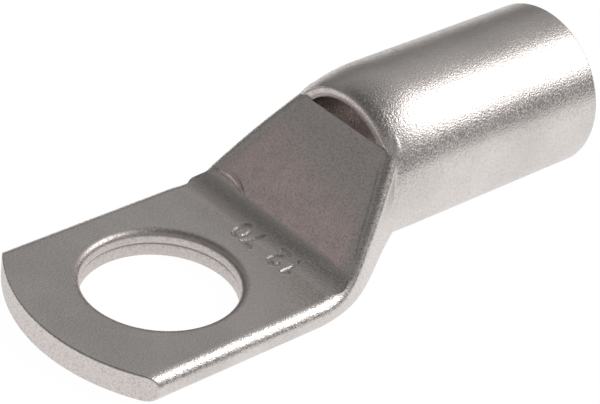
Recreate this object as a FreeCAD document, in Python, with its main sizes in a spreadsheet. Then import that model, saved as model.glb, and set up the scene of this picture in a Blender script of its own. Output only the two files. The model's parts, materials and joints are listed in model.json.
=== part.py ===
"""Tubular copper cable lug, tin-plated: one piece of tube.

One end stays a round barrel that takes the stripped conductor. The other end is pressed
flat into a two-layer palm with a punched bolt hole. Between them the top wall is sheared
across and pressed down into a sloping panel, which leaves a crescent inspection window
under the end of the barrel.

Frame: origin at the bolt-hole centre on the underside of the palm, +X towards the mouth
of the barrel, +Z up. Lengths in millimetres, angles in degrees.
"""
import FreeCAD, Part
import math
import os
import Sketcher

os.makedirs("parts", exist_ok=True)
doc = FreeCAD.newDocument("cable_lug")
sheet = doc.addObject("Spreadsheet::Sheet", "Sizes")

SIZES = [
    # the tube
    ("tube_diameter", 14.6, "outside diameter of the barrel"),
    ("tube_wall", 1.2, "wall of the tube"),
    ("mouth_reach", 42.1, "bolt-hole centre to the open mouth of the barrel"),
    ("mouth_chamfer", 0.25, "broken edges at the mouth"),
    # the palm
    ("palm_width", 20.7, "width over the rounded folds"),
    ("palm_thickness", 2.4, "two walls pressed solid"),
    ("palm_fold", 1.15, "rounding of the palm's folded long edges"),
    ("tip_reach", 11.7, "bolt-hole centre to the sheared end"),
    ("tip_radius", 16.7, "radius of the sheared end"),
    ("palm_reach", 8.5, "bolt-hole centre to the start of the neck"),
    # the bolt hole
    ("bolt_hole", 13.0, "diameter of the punched hole"),
    ("hole_rollover", 0.65, "drawn-in rim where the punch entered"),
    # the inspection window
    ("window_reach", 18.5, "bolt-hole centre to the sheared edge of the barrel"),
    ("window_sill", 11.0, "height of the panel's cut edge above the underside"),
    # the neck
    ("panel_angle", 50.3, "slope of the pressed panel"),
    ("panel_blend", 4.0, "concave radius at the foot of the panel"),
    ("panel_fold", 2.15, "rounding of the panel's sides at the barrel"),
    ("flare_reach", 1.25, "sheared edge to where the folds run out into the barrel"),
    ("floor_early", 0.36, "share of the flat underside's narrowing made early"),
    ("floor_draft", 3.3, "how late the rest of it narrows"),
    ("corner_early", 0.1, "share of the lower corners' growth made early"),
    ("corner_draft", 5.3, "how late the rest of them grows round"),
    ("fold_draft", 2.2, "how late the panel's folds grow round"),
    ("panel_draft", 0.92, "how late the panel narrows"),
    ("press_angle", 73.0, "share of the half wave along which the panel narrows"),
    # the drawn-in end of the barrel
    ("shoulder_reach", 4.8, "sheared edge to where the barrel is full"),
    ("shoulder_drop", 0.85, "how far the top of the sheared edge is drawn in"),
    ("shoulder_thinning", 0.15, "wall lost at the sheared edge"),
]
for row, (alias, value, note) in enumerate(SIZES, start=1):
    sheet.set("A%d" % row, alias)
    sheet.set("B%d" % row, repr(value))
    sheet.set("C%d" % row, note)
    sheet.setAlias("B%d" % row, alias)
doc.recompute()


class Size:
    """A length or share: its number now, and the expression that ties it to the sheet."""

    def __init__(self, number, text):
        self.number, self.text = float(number), text

    @staticmethod
    def of(value):
        return value if isinstance(value, Size) else Size(value, repr(float(value)))

    def __add__(self, other):
        other = Size.of(other)
        return Size(self.number + other.number, "(%s + %s)" % (self.text, other.text))

    def __sub__(self, other):
        other = Size.of(other)
        return Size(self.number - other.number, "(%s - %s)" % (self.text, other.text))

    def __rsub__(self, other):
        return Size.of(other) - self

    def __mul__(self, other):
        other = Size.of(other)
        return Size(self.number * other.number, "(%s * %s)" % (self.text, other.text))

    def __truediv__(self, other):
        other = Size.of(other)
        return Size(self.number / other.number, "(%s / %s)" % (self.text, other.text))

    def __pow__(self, other):
        other = Size.of(other)
        return Size(self.number ** other.number, "pow(%s; %s)" % (self.text, other.text))

    __radd__, __rmul__ = __add__, __mul__


def named(alias):
    return Size(sheet.get(alias), "Sizes." + alias)


def root(value):
    return Size(math.sqrt(max(value.number, 0.0)), "sqrt(max(%s; 0))" % value.text)


def tangent(degrees):
    return Size(math.tan(math.radians(degrees.number)), "tan(%s * 1deg)" % degrees.text)


def cosine(degrees):
    return Size(math.cos(math.radians(degrees.number)), "cos(%s * 1deg)" % degrees.text)


def larger(first, second):
    first, second = Size.of(first), Size.of(second)
    return Size(max(first.number, second.number), "max(%s; %s)" % (first.text, second.text))


def smaller(first, second):
    first, second = Size.of(first), Size.of(second)
    return Size(min(first.number, second.number), "min(%s; %s)" % (first.text, second.text))


TINY = 1e-6   # lengths and shares nearer than this are the same
body = doc.addObject("PartDesign::Body", "cable_lug")
body.Label = "cable_lug"
planes = {plane.Role: plane for plane in body.Origin.OriginFeatures}
vector = FreeCAD.Vector
CLEAR = Size.of(1)   # how far a cut runs past the faces that it opens
radius = named("tube_diameter") / 2
wall = named("tube_wall")


def new_sketch(name, role, offset=None):
    """A sketch on one of the body's own planes, moved along the plane's normal."""
    sketch = body.newObject("Sketcher::SketchObject", name)
    sketch.AttachmentSupport = (planes[role], [""])
    sketch.MapMode = "FlatFace"
    if offset is not None:
        sketch.AttachmentOffset = FreeCAD.Placement(vector(0, 0, offset.number),
                                                    FreeCAD.Rotation())
        sketch.setExpression("AttachmentOffset.Base.z", offset.text)
    return sketch


def bind(sketch, kind, *arguments):
    """Add a dimension to a sketch and tie it to the sheet."""
    *places, size = arguments
    index = sketch.addConstraint(Sketcher.Constraint(kind, *places, size.number))
    sketch.setExpression("Constraints[%d]" % index, size.text)


def bind_point(sketch, edge, end, across, up):
    """Tie a point of the sketch to its distances from the sketch's origin."""
    for kind, axis, size in (("DistanceX", -2, across), ("DistanceY", -1, up)):
        if size.number > 0:
            bind(sketch, kind, -1, 1, edge, end, size)
        elif size.number < 0:
            bind(sketch, kind, edge, end, -1, 1, 0 - size)
        else:
            sketch.addConstraint(Sketcher.Constraint("PointOnObject", edge, end, axis))


def circle_arc(x, y, r, start, end):
    return Part.ArcOfCircle(Part.Circle(vector(x, y, 0), vector(0, 0, 1), r), start, end)


def tube_section(name, offset, floor, top, top_half, top_round, floor_half, floor_round):
    """One cross-section of the neck, in the YZ plane at X = offset.

    Flat top, rounded folds, straight sides, rounded lower corners and a flat floor.
    """
    sketch = new_sketch(name, "YZ_Plane", offset)
    zt, zf = top.number, floor.number
    t, rt, b, rb = top_half.number, top_round.number, floor_half.number, floor_round.number
    # the side leans so that it is tangent to the fold and to the lower corner
    across, rise = t - b, (zt - rt) - (zf + rb)
    gap = (rb - rt) / math.hypot(across, rise)
    lean = math.atan2(rise, across) - math.acos(max(-1.0, min(1.0, gap)))

    def on_circle(x, y, r):
        return vector(x + r * math.cos(lean), y + r * math.sin(lean), 0)

    quarter, half = math.pi / 2, math.pi
    right = (on_circle(t, zt - rt, rt), on_circle(b, zf + rb, rb))
    left = [vector(-p.x, p.y, 0) for p in right]
    sketch.addGeometry([
        Part.LineSegment(vector(-t, zt, 0), vector(t, zt, 0)),
        circle_arc(t, zt - rt, rt, lean, quarter),
        Part.LineSegment(*right),
        circle_arc(b, zf + rb, rb, -quarter, lean),
        Part.LineSegment(vector(b, zf, 0), vector(-b, zf, 0)),
        circle_arc(-b, zf + rb, rb, half - lean, half + quarter),
        Part.LineSegment(left[1], left[0]),
        circle_arc(-t, zt - rt, rt, quarter, half - lean),
    ], False)
    for joint in ((0, 2, 1, 2), (1, 1, 2, 1), (2, 2, 3, 2), (3, 1, 4, 1),
                  (4, 2, 5, 2), (5, 1, 6, 1), (6, 2, 7, 2), (7, 1, 0, 1)):
        sketch.addConstraint(Sketcher.Constraint("Tangent", *joint))
    sketch.addConstraint(Sketcher.Constraint("Symmetric", 0, 1, 0, 2, -2))
    sketch.addConstraint(Sketcher.Constraint("Symmetric", 4, 2, 4, 1, -2))
    sketch.addConstraint(Sketcher.Constraint("Equal", 1, 7))
    sketch.addConstraint(Sketcher.Constraint("Equal", 3, 5))
    bind(sketch, "Radius", 1, top_round)
    bind(sketch, "Radius", 3, floor_round)
    bind(sketch, "DistanceX", 0, 1, 0, 2, top_half * 2)
    bind(sketch, "DistanceX", 4, 2, 4, 1, floor_half * 2)
    bind(sketch, "DistanceY", 4, 1, 0, 2, top - floor)
    if zf:
        bind(sketch, "DistanceY", -1, 1, 4, 1, floor)
    else:
        sketch.addConstraint(Sketcher.Constraint("PointOnObject", 4, 1, -1))
    return sketch


# the neck between the palm and the barrel: every size passes from its value at the palm
# to its value at the barrel, slowly at the palm and fast at the barrel
KEEL = Size.of(0.1)    # half width left of the flat underside where the barrel begins
SIDE = Size.of(0.04)   # how far the folds stand clear of the lower corners' circles
PROUD = Size.of(0.08)  # how far the neck stands proud of the barrel where it ends
LEAD = Size.of(0.5)    # least length of the neck before the panel starts to rise
EARLY_DRAFT = 1.5      # draft of the early part of a change
window = named("window_reach")
palm_half = named("palm_width") / 2 - named("palm_fold")
slope = tangent(named("panel_angle"))
foot = window - (named("window_sill") - named("palm_thickness")) / slope
blend_reach = named("panel_blend") * tangent(named("panel_angle") / 2)
blend_start = foot - blend_reach
blend_end = foot + blend_reach * cosine(named("panel_angle"))
neck_start = smaller(named("palm_reach"), blend_start - LEAD)
neck_end = window + named("flare_reach")
round_start = window + named("shoulder_reach")


def drawn_in(place):
    """How far the top of the barrel is drawn in at X = place: an arc, tangent at the barrel."""
    drop = named("shoulder_drop")
    bend = (named("shoulder_reach") * named("shoulder_reach") + drop * drop) / (drop * 2)
    away = round_start - place
    return bend - root(bend * bend - away * away)


def between(start, end, done):
    return start + (end - start) * done


def late(share, draft):
    return share ** draft if share.number else share


def eased(share, early, draft):
    """Share of the change made after `share` of the neck: a part early, the rest late."""
    return between(late(share, draft), late(share, EARLY_DRAFT), early)


def waved(share, draft):
    """The same along the first part of a half wave."""
    return ((1 - cosine(late(share, draft) * named("press_angle")))
            / (1 - cosine(named("press_angle"))))


def panel_height(place):
    """Height of the panel's top surface at X = place: palm, concave blend, then slope."""
    if place.number <= blend_start.number:
        return named("palm_thickness")
    if place.number >= blend_end.number:
        return named("window_sill") + (place - window) * slope
    away = place - blend_start
    return (named("palm_thickness") + named("panel_blend")
            - root(named("panel_blend") * named("panel_blend") - away * away))


def fold_limit(top, top_round, floor, floor_half, floor_round):
    """Least top half width at which the fold still touches the lower corner's circle."""
    reach, rise = floor_round - top_round + SIDE, top - top_round - floor - floor_round
    return floor_half + root(reach * reach - rise * rise)


def neck_sizes(place):
    """Top, top half width, fold radius, floor half width and corner radius at X = place."""
    ground = Size.of(0)
    share = (place - neck_start) / (neck_end - neck_start)
    if abs(share.number) < TINY:
        share = ground
    end_round = radius - drawn_in(neck_end) / 2 + PROUD - KEEL
    end_top = fold_limit(panel_height(neck_end), named("panel_fold"), ground, KEEL, end_round)
    top = panel_height(place)
    top_round = between(named("palm_fold"), named("panel_fold"),
                        late(share, named("fold_draft")))
    floor_half = between(palm_half, KEEL,
                         eased(share, named("floor_early"), named("floor_draft")))
    floor_round = between(named("palm_fold"), end_round,
                          eased(share, named("corner_early"), named("corner_draft")))
    top_half = larger(between(palm_half, end_top, waved(share, named("panel_draft"))),
                      fold_limit(top, top_round, ground, floor_half, floor_round))
    return top, top_half, top_round, floor_half, floor_round


OUTER_STATIONS, INNER_STATIONS = 9, 6
outer = []
for number in range(OUTER_STATIONS + 1):
    place = between(neck_start, neck_end, Size.of(number / OUTER_STATIONS))
    outer.append(tube_section("NeckSection%02d" % number, place, Size.of(0),
                              *neck_sizes(place)))

# the space left inside the neck: one wall in from the outside, and it closes at the foot
INSIDE_ROUND = Size.of(0.3)   # least inside radius of a fold
CLOSED = Size.of(0.7)         # height of the space where the two walls part
DRAWN = Size.of(0.12)         # wall lost where the neck is drawn in
LAP = Size.of(0.2)            # how far the space passes the sheared edge
neck_wall = wall - DRAWN
panel_wall = wall / cosine(named("panel_angle"))
closed_reach = window - (named("window_sill") - wall - panel_wall - CLOSED) / slope
inner = []
for number in range(INNER_STATIONS + 1):
    place = between(closed_reach, window + LAP, Size.of(number / INNER_STATIONS))
    top, top_half, top_round, floor_half, floor_round = neck_sizes(place)
    in_fold = larger(top_round - neck_wall, INSIDE_ROUND)
    in_corner = larger(floor_round - neck_wall, INSIDE_ROUND)
    in_floor = floor_half + floor_round - neck_wall - in_corner
    in_top = top - panel_wall
    in_half = larger(top_half + top_round - neck_wall - in_fold,
                     fold_limit(in_top, in_fold, neck_wall, in_floor, in_corner))
    inner.append(tube_section("CavitySection%02d" % number, place, neck_wall,
                              in_top, in_half, in_fold, in_floor, in_corner))
doc.recompute()

palm = body.newObject("PartDesign::Pad", "Palm")
palm.Profile = outer[0]
palm.Reversed = True
palm.setExpression("Length", (neck_start + named("tip_reach")).text)

neck = body.newObject("PartDesign::AdditiveLoft", "Neck")
neck.Profile = outer[0]
neck.Sections = outer[1:]
doc.recompute()


def round_section(name, offset, bottom, top):
    """One round cross-section of the drawn-in shoulder, in the YZ plane at X = offset."""
    sketch = new_sketch(name, "YZ_Plane", offset)
    half = (top - bottom) / 2
    centre = bottom + half
    sketch.addGeometry(Part.Circle(vector(0, centre.number, 0), vector(0, 0, 1),
                                   half.number), False)
    sketch.addConstraint(Sketcher.Constraint("PointOnObject", 0, 3, -2))
    bind(sketch, "DistanceY", -1, 1, 0, 3, centre)
    bind(sketch, "Radius", 0, half)
    return sketch


# the shoulder: its underside stays level while its top rises to the full barrel
SHOULDER_STATIONS = 5
LIFT = Size.of(0.15)   # how far its underside clears the neck's at the sheared edge
shoulder_outside, shoulder_inside = [], []
for number in range(SHOULDER_STATIONS + 1):
    share = number / SHOULDER_STATIONS
    place = between(window, round_start, Size.of(share))
    top = radius * 2 - drawn_in(place)
    here_wall = wall - named("shoulder_thinning") * (1 - share)
    shoulder_outside.append(round_section("ShoulderOutside%02d" % number, place,
                                          LIFT * (1 - share), top))
    shoulder_inside.append(round_section("ShoulderInside%02d" % number, place,
                                         wall, top - here_wall))
doc.recompute()

shoulder = body.newObject("PartDesign::AdditiveLoft", "Shoulder")
shoulder.Profile = shoulder_outside[0]
shoulder.Sections = shoulder_outside[1:]
doc.recompute()


def barrel_profile(name, full, mouth_flare, past_mouth):
    """Half profile of the round barrel or its bore, above the barrel's axis."""
    sketch = new_sketch(name, "XZ_Plane")
    start, mouth = round_start, named("mouth_reach")
    lip, lips = mouth - named("mouth_chamfer"), full + mouth_flare
    corners = [(start, radius), (start, full), (lip, full), (mouth, lips)]
    if past_mouth:
        corners.append((mouth + past_mouth, lips))
    corners.append((corners[-1][0], radius))
    points = [vector(across.number, up.number, 0) for across, up in corners]
    sketch.addGeometry([Part.LineSegment(*ends)
                        for ends in zip(points, points[1:] + points[:1])], False)
    last = len(points) - 1
    for index, (across, up) in enumerate(corners):
        following = (index + 1) % len(corners)
        sketch.addConstraint(Sketcher.Constraint("Coincident", index, 2, following, 1))
        bind_point(sketch, index, 1, across, up)
    # the turning axis lies along the last line
    axis = sketch.addGeometry(Part.LineSegment(points[0], points[last]), True)
    sketch.addConstraint(Sketcher.Constraint("Coincident", axis, 1, 0, 1))
    sketch.addConstraint(Sketcher.Constraint("Coincident", axis, 2, last, 1))
    return sketch


outside = barrel_profile("BarrelOutside", radius * 2, 0 - named("mouth_chamfer"), None)
barrel = body.newObject("PartDesign::Revolution", "Barrel")
barrel.Profile = outside
barrel.ReferenceAxis = (outside, ["Axis0"])
barrel.Angle = 360
doc.recompute()

cavity = body.newObject("PartDesign::SubtractiveLoft", "NeckCavity")
cavity.Profile = inner[0]
cavity.Sections = inner[1:]
doc.recompute()

hollow = body.newObject("PartDesign::SubtractiveLoft", "ShoulderBore")
hollow.Profile = shoulder_inside[0]
hollow.Sections = shoulder_inside[1:]
doc.recompute()

inside = barrel_profile("BarrelInside", radius * 2 - wall, named("mouth_chamfer"),
                        CLEAR)
bore = body.newObject("PartDesign::Groove", "BarrelBore")
bore.Profile = inside
bore.ReferenceAxis = (inside, ["Axis0"])
bore.Angle = 360
doc.recompute()

# the palm's end is sheared to a large radius, which leaves two sharp corners
tip = new_sketch("TipShear", "XY_Plane")
beyond = named("palm_width") / 2 + CLEAR
centre = named("tip_radius") - named("tip_reach")
chord = root(named("tip_radius") * named("tip_radius") - beyond * beyond)
corner = centre - chord
behind = 0 - named("tip_reach") - CLEAR
turn = math.asin(beyond.number / named("tip_radius").number)
tip.addGeometry([
    circle_arc(centre.number, 0, named("tip_radius").number, math.pi - turn, math.pi + turn),
    Part.LineSegment(vector(corner.number, -beyond.number, 0),
                     vector(behind.number, -beyond.number, 0)),
    Part.LineSegment(vector(behind.number, -beyond.number, 0),
                     vector(behind.number, beyond.number, 0)),
    Part.LineSegment(vector(behind.number, beyond.number, 0),
                     vector(corner.number, beyond.number, 0)),
], False)
for joint in ((0, 2, 1, 1), (1, 2, 2, 1), (2, 2, 3, 1), (3, 2, 0, 1)):
    tip.addConstraint(Sketcher.Constraint("Coincident", *joint))
tip.addConstraint(Sketcher.Constraint("PointOnObject", 0, 3, -1))
tip.addConstraint(Sketcher.Constraint("Vertical", 2))
tip.addConstraint(Sketcher.Constraint("Horizontal", 1))
tip.addConstraint(Sketcher.Constraint("Horizontal", 3))
bind(tip, "Radius", 0, named("tip_radius"))
bind(tip, "DistanceX", -1, 1, 0, 3, centre)
bind(tip, "DistanceY", 2, 1, -1, 1, beyond)
bind(tip, "DistanceY", -1, 1, 2, 2, beyond)
bind(tip, "DistanceX", 2, 1, -1, 1, 0 - behind)
shear = body.newObject("PartDesign::Pocket", "TipCut")
shear.Profile = tip
shear.Type = "ThroughAll"
shear.Midplane = True
doc.recompute()

hole_sketch = new_sketch("BoltHoleSketch", "XY_Plane")
hole_sketch.addGeometry(Part.Circle(vector(0, 0, 0), vector(0, 0, 1),
                                    named("bolt_hole").number / 2), False)
hole_sketch.addConstraint(Sketcher.Constraint("Coincident", 0, 3, -1, 1))
bind(hole_sketch, "Diameter", 0, named("bolt_hole"))
punch = body.newObject("PartDesign::Pocket", "BoltHole")
punch.Profile = hole_sketch
punch.Reversed = True
punch.setExpression("Length", (named("palm_thickness") + CLEAR).text)
doc.recompute()

# the punch entered from above and drew the rim in with it
rim = [name for name, edge in
       (("Edge%d" % (index + 1), item) for index, item in enumerate(punch.Shape.Edges))
       if isinstance(edge.Curve, Part.Circle)
       and abs(edge.Curve.Radius - named("bolt_hole").number / 2) < TINY
       and abs(edge.Curve.Center.z - named("palm_thickness").number) < TINY
       and math.hypot(edge.Curve.Center.x, edge.Curve.Center.y) < TINY]
rollover = body.newObject("PartDesign::Fillet", "HoleRollover")
rollover.Base = (punch, rim)
rollover.setExpression("Radius", "Sizes.hole_rollover")
body.Tip = rollover
doc.recompute()

for item in doc.Objects:
    if "Invalid" in item.State or "Error" in item.State:
        raise RuntimeError("%s is in state %s" % (item.Name, item.State))
steps = [palm, neck, shoulder, barrel, cavity, hollow, bore, shear, punch, rollover]
for before, after in zip(steps, steps[1:]):
    change = after.Shape.Volume - before.Shape.Volume
    grows = after in (neck, shoulder, barrel)
    print("%-14s %9.2f mm3 %+9.2f" % (after.Name, after.Shape.Volume, change))
    if (change > 0) != grows or abs(change) < 0.01:
        raise RuntimeError("%s changed the volume by %.3f" % (after.Name, change))
shape = body.Shape
if shape.isNull() or not shape.isValid() or len(shape.Solids) != 1:
    raise RuntimeError("the lug is not one valid solid")
print("volume %.2f mm3, box %s" % (shape.Volume, shape.BoundBox))
shape.exportStep(os.path.join("parts", body.Label + ".step"))
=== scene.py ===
"""Cable lug: looks, stage and camera for the tubular lug pressed from one tinned copper tube."""

import json
import math
from types import SimpleNamespace

import bmesh
import bpy
import numpy as np
from bpy.props import FloatProperty, FloatVectorProperty, IntProperty, PointerProperty
from bpy.types import Operator, Panel, PropertyGroup
from mathutils import Matrix, Vector


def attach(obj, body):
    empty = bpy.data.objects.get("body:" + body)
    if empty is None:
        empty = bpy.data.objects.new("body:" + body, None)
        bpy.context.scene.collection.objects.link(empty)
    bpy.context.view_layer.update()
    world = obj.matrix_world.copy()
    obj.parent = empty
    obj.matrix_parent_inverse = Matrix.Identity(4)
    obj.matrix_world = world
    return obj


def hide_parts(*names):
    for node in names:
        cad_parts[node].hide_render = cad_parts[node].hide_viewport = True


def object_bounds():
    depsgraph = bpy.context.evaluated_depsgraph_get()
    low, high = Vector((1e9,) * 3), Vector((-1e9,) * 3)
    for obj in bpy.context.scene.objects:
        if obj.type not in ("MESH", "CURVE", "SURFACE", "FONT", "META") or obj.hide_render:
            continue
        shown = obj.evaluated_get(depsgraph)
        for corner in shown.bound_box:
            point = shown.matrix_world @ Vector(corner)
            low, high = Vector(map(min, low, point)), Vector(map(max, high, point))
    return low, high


bl_info = {
    "name": "Cable Lug",
    "version": (1, 0, 0),
    "blender": (4, 5, 0),
    "location": "View3D > Sidebar > Cable Lug",
    "description": "Builds a tubular cable lug around its CAD frame, with its finish and stage",
    "category": "Add Mesh",
}

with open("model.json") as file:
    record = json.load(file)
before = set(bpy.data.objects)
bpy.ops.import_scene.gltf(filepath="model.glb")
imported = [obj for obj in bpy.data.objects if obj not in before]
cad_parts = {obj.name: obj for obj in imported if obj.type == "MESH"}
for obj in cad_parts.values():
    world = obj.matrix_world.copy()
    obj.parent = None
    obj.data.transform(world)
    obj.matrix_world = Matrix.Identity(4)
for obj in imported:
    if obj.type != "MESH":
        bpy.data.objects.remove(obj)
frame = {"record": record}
CAD_BOX = [[float(value) for value in corner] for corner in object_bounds()]
MOUNTS = {mount["name"]: mount for mount in frame["record"]["mounts"]}
MM = 0.001


def length(name, description, default):
    """A length in metres, shown in the scene's own units."""
    return FloatProperty(name=name, description=description, default=default, unit="LENGTH",
                         precision=5, min=0.0)


def colour(name, description, default):
    """A colour without transparency."""
    return FloatVectorProperty(name=name, description=description, default=default, size=3,
                               subtype="COLOR", min=0.0, max=1.0)


def share(name, description, default):
    """A plain number: a share or a power."""
    return FloatProperty(name=name, description=description, default=default)


def angle(name, description, degrees):
    """An angle, given here in degrees."""
    return FloatProperty(name=name, description=description, default=math.radians(degrees),
                         subtype="ANGLE")


class TubeSizes(PropertyGroup):
    """The round barrel and its drawn-in end."""

    diameter: length("Diameter", "Outside diameter of the barrel", CAD_BOX[1][2])
    wall: length("Wall", "Wall of the tube",
                 CAD_BOX[1][2] / 2 - MOUNTS["barrel_bore"]["dims"]["r_mm"] * MM)
    mouth_reach: length("Mouth reach", "Bolt-hole centre to the open mouth", CAD_BOX[1][0])
    mouth_chamfer: length("Mouth chamfer", "Broken edges at the mouth", 0.25 * MM)
    shoulder_reach: length("Shoulder reach", "Sheared edge to where the barrel is full",
                           4.8 * MM)
    shoulder_drop: length("Shoulder drop", "How far the sheared edge is drawn in", 0.85 * MM)
    shoulder_thinning: length("Shoulder thinning", "Wall lost at the sheared edge", 0.15 * MM)
    edge_round: length("Edge rounding", "Depth of the sheared edge's rounding", 0.22 * MM)
    edge_reach: length("Edge reach", "Reach of the same along the barrel", 1.1 * MM)


class PalmSizes(PropertyGroup):
    """The flat palm and its bolt hole."""

    thickness: length("Thickness", "Two walls pressed solid", 2.4 * MM)
    fold: length("Fold", "Rounding of the folded long edges", 1.15 * MM)
    width: length("Width", "Width over the folds", 20.7 * MM)
    tip_reach: length("Tip reach", "Bolt-hole centre to the sheared end", -CAD_BOX[0][0])
    tip_radius: length("Tip radius", "Radius of the sheared end", 16.7 * MM)
    reach: length("Reach", "Bolt-hole centre to the start of the neck", 8.5 * MM)
    hole: length("Hole", "Diameter of the punched hole",
                 2 * MOUNTS["bolt_hole"]["dims"]["r_mm"] * MM)
    rollover: length("Rollover", "Drawn-in rim where the punch entered", 0.65 * MM)
    edge_round: length("Edge rounding", "Rounding of the sheared edges", 0.14 * MM)
    seam: length("Seam", "Depth of the line between the two walls in the hole", 0.07 * MM)


class NeckSizes(PropertyGroup):
    """The pressed panel and the folds beside it."""

    window_reach: length("Window reach", "Bolt-hole centre to the sheared edge", 18.5 * MM)
    window_sill: length("Window sill", "Height of the panel's cut edge", 11.0 * MM)
    panel_angle: angle("Panel angle", "Slope of the pressed panel", 50.3)
    panel_blend: length("Panel blend", "Concave radius at the panel's foot", 4.0 * MM)
    panel_fold: length("Panel fold", "Rounding of the panel's sides at the barrel", 2.15 * MM)
    flare_reach: length("Flare reach", "Sheared edge to where the folds run out", 1.25 * MM)
    floor_early: share("Floor early", "Share of the underside's narrowing made early", 0.36)
    floor_draft: share("Floor draft", "How late the rest of it narrows", 3.3)
    corner_early: share("Corner early", "Share of the corners' growth made early", 0.1)
    corner_draft: share("Corner draft", "How late the rest of them grows round", 5.3)
    fold_draft: share("Fold draft", "How late the panel's folds grow round", 2.2)
    panel_draft: share("Panel draft", "How late the panel narrows", 0.92)
    press_angle: angle("Press angle", "Part of the half wave along which it narrows", 73.0)
    dish: length("Dish", "How far the panel is pressed in below its folds", 0.15 * MM)
    flank: length("Flank", "Width of the flank between the panel and a fold", 0.45 * MM)
    crease_foot: length("Crease at foot", "How far the panel spreads on to its folds there",
                        0.85 * MM)
    crease_sill: length("Crease at sill", "The same beside the window", 0.4 * MM)
    bead: length("Bead", "Height of the short bead at the panel's foot", 0.21 * MM)


class StampSizes(PropertyGroup):
    """Plain numbers stamped at the foot of the panel."""

    conductor: IntProperty(name="Conductor", description="First number", default=70, min=0)
    stud: IntProperty(name="Stud", description="Second number", default=12, min=0)
    height: length("Height", "Height of the figures", 1.75 * MM)
    stroke: length("Stroke", "Width of a stroke", 0.34 * MM)
    depth: length("Depth", "Depth of the strokes", 0.095 * MM)
    reach: length("Reach", "Bolt-hole centre to the middle of the figures", 9.75 * MM)


class FinishColours(PropertyGroup):
    """Colours of the tin plate and of the copper that shows through it."""

    tin: colour("Tin", "Tumbled tin plate", (0.75, 0.70, 0.675))
    pressed: colour("Pressed", "Tin smoothed dull by the press", (0.71, 0.65, 0.625))
    blush: colour("Blush", "Tin rubbed thin over the copper", (0.94, 0.745, 0.725))
    cut: colour("Cut edge", "Plated edges that were sheared", (0.71, 0.655, 0.635))
    # painted shade: the tin inside the tube is given a darker colour than the outside tin
    inside: colour("Inside", "Tin inside the tube", (0.49, 0.435, 0.415))


class StageSizes(PropertyGroup):
    """Floor, lamp and camera."""

    floor: colour("Floor", "Pale floor", (0.86, 0.86, 0.86))
    floor_half: length("Floor half", "Half the side of the floor", 0.9)
    lamp_bearing: angle("Lamp bearing", "Lamp's bearing from -Y towards +X", 60)
    lamp_height: angle("Lamp height", "Lamp's height above the horizon", 42)
    lamp_distance: length("Lamp distance", "From the lamp to the middle of the lug", 0.5)
    lamp_side: length("Lamp side", "Side of the square lamp", 0.29)
    lamp_power: FloatProperty(name="Lamp power", description="Light given off", default=1.0,
                              unit="POWER", min=0.0)
    azimuth: angle("Azimuth", "Camera's bearing from -Y towards +X", -45.06)
    elevation: angle("Elevation", "Camera's height above the horizon", 33.79)
    roll: angle("Roll", "Camera's roll", 7.29)
    distance: length("Distance", "Camera's distance", 197.84 * MM)
    across: length("Across", "Camera's offset to its right", 11.36 * MM)
    up: length("Up", "Camera's offset upwards", 8.06 * MM)
    lens: FloatProperty(name="Lens", description="Focal length", default=147.7,
                        unit="CAMERA")


GROUPS = {"lug_tube": TubeSizes, "lug_palm": PalmSizes, "lug_neck": NeckSizes,
          "lug_stamp": StampSizes, "lug_finish": FinishColours, "lug_stage": StageSizes}


def in_mm(group):
    """The group's lengths in millimetres, its angles and shares as they are."""
    values = {}
    for name in group.__annotations__:
        value = getattr(group, name)
        is_length = group.bl_rna.properties[name].unit == "LENGTH"
        values[name] = value / MM if is_length else value
    return SimpleNamespace(**values)


# the form, in millimetres unless said
CLOSED = 0.7         # height of the space where the two walls part
KEEL = 0.1           # half width left of the flat underside where the neck ends
INSIDE_ROUND = 0.3   # least inside radius of a fold
CIRCLE_CLEAR = 0.04  # least reach of a fold's circle out of its lower corner's
EARLY_POWER = 1.5    # power of the early share of the neck's narrowing
SILL_DISH = 0.45     # share of the panel's dish that is left at its cut edge
FINE_HALF = 5.6      # half width of the palm's middle, which has the stamped figures


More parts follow.
